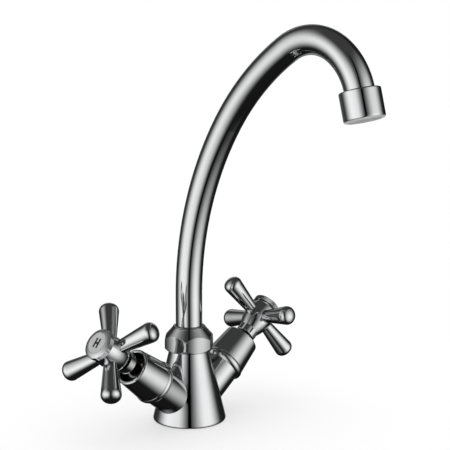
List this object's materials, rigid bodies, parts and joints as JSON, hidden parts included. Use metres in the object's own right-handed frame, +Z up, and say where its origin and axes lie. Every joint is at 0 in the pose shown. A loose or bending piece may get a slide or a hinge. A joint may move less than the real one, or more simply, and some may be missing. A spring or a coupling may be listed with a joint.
{
  "type": "two-handle mixer tap",
  "caption": "Deck-mounted mixer tap with a conical body, cross-head handles on sloping valves and a tall swivelling bent-tube spout with an aerator.",
  "frame": {"origin": "centre of the flat underside that sits on the sink deck", "axes": "+Z up out of the deck, -Y towards the spout's outlet at rest, -X towards the hot valve and +X towards the cold valve"},
  "size_m": [0.1881, 0.1942, 0.2658],
  "materials": {
    "polished_chrome": "polished chrome plate on cast brass",
    "brass": "turned brass",
    "rubber": "black moulded rubber",
    "plastic": "off-white moulded plastic",
    "steel": "plain stainless steel",
    "enamel": "dark enamel fill, level with the button's face"
  },
  "bodies": {
    "tap_body": {"body_casting": "polished_chrome", "base_gasket": "rubber", "spout_nut": "polished_chrome", "spout_bush": "plastic", "hot_headwork": "brass", "hot_headwork_washer": "plastic", "hot_shroud": "polished_chrome", "cold_headwork": "brass", "cold_headwork_washer": "plastic", "cold_shroud": "polished_chrome"},
    "spout": {"spout_tube": "polished_chrome", "spout_tail": "brass", "spout_o_rings": "rubber", "outlet_ferrule": "brass", "aerator_housing": "polished_chrome", "aerator_gasket": "rubber", "aerator_insert": "plastic"},
    "hot_handle": {"hot_handle": "polished_chrome", "hot_handle_screw": "steel", "hot_index_button": "polished_chrome", "hot_index_mark": "enamel", "hot_spindle": "brass", "hot_spindle_o_ring": "rubber", "hot_spindle_clip": "steel"},
    "hot_piston": {"hot_piston": "brass", "hot_valve_washer": "rubber", "hot_washer_screw": "brass"},
    "cold_handle": {"cold_handle": "polished_chrome", "cold_handle_screw": "steel", "cold_index_button": "polished_chrome", "cold_index_mark": "enamel", "cold_spindle": "brass", "cold_spindle_o_ring": "rubber", "cold_spindle_clip": "steel"},
    "cold_piston": {"cold_piston": "brass", "cold_valve_washer": "rubber", "cold_washer_screw": "brass"}
  },
  "joints": [
    {"name": "spout_swivel", "type": "hinge", "parent": "tap_body", "child": "spout", "pos_m": [0, 0, 0.057], "axis": [0, 0, 1], "continuous": true},
    {"name": "hot_turn", "type": "hinge", "parent": "tap_body", "child": "hot_handle", "pos_m": [-0.07075, 0, 0.05998], "axis": [-0.8062, 0, 0.5916], "range_deg": [0, 720]},
    {"name": "hot_lift", "type": "slide", "parent": "tap_body", "child": "hot_piston", "axis": [-0.8062, 0, 0.5916], "range_m": [0, 0.004]},
    {"name": "cold_turn", "type": "hinge", "parent": "tap_body", "child": "cold_handle", "pos_m": [0.07075, 0, 0.05998], "axis": [0.8062, 0, 0.5916], "range_deg": [0, 720]},
    {"name": "cold_lift", "type": "slide", "parent": "tap_body", "child": "cold_piston", "axis": [0.8062, 0, 0.5916], "range_m": [0, 0.004]}
  ],
  "couplings": [
    {"joint": "hot_lift", "follows": "hot_turn", "m_per_rad": 0.00031831},
    {"joint": "cold_lift", "follows": "cold_turn", "m_per_rad": 0.00031831}
  ]
}
